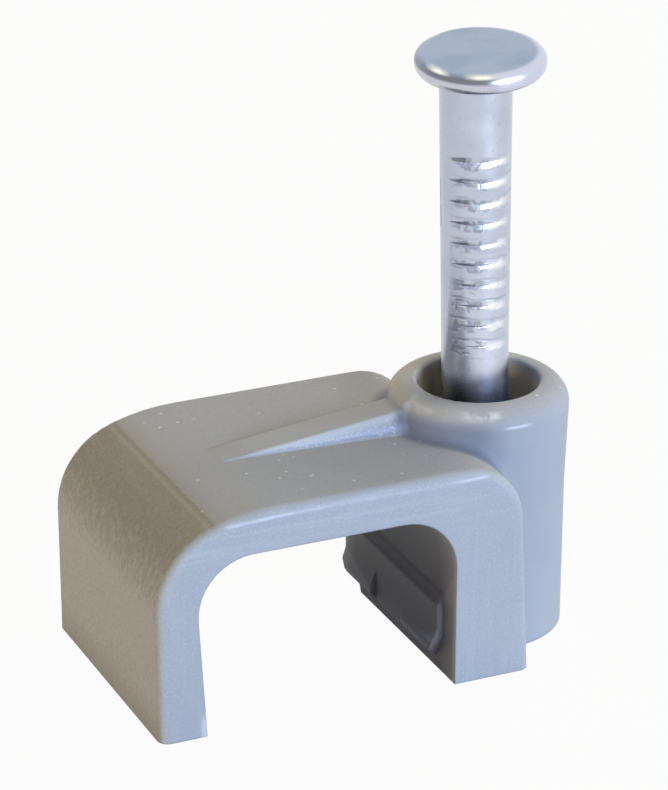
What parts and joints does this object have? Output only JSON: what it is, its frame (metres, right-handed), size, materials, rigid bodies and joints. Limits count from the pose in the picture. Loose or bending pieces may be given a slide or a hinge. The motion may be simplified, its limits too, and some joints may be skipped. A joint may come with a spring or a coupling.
{
  "type": "nail-in cable clip",
  "caption": "Moulded grey cable clip: a square saddle over the cable, a boss at one side and a plated masonry nail waiting in the boss, ready to be driven.",
  "frame": {"origin": "on the axis of the boss, level with the wall side of the clip, where the nail goes into the wall", "axes": "+X from the saddle to the boss, +Y along the cable, +Z away from the wall, along the boss's axis"},
  "size_m": [0.0146, 0.0082, 0.0182],
  "materials": {
    "clip_plastic": "satin moulded grey plastic with a faint spark texture",
    "nail_steel": "bright zinc plated steel with bluish passivation"
  },
  "bodies": {
    "root": {"clip_body": "clip_plastic", "masonry_nail": "nail_steel"}
  },
  "joints": []
}
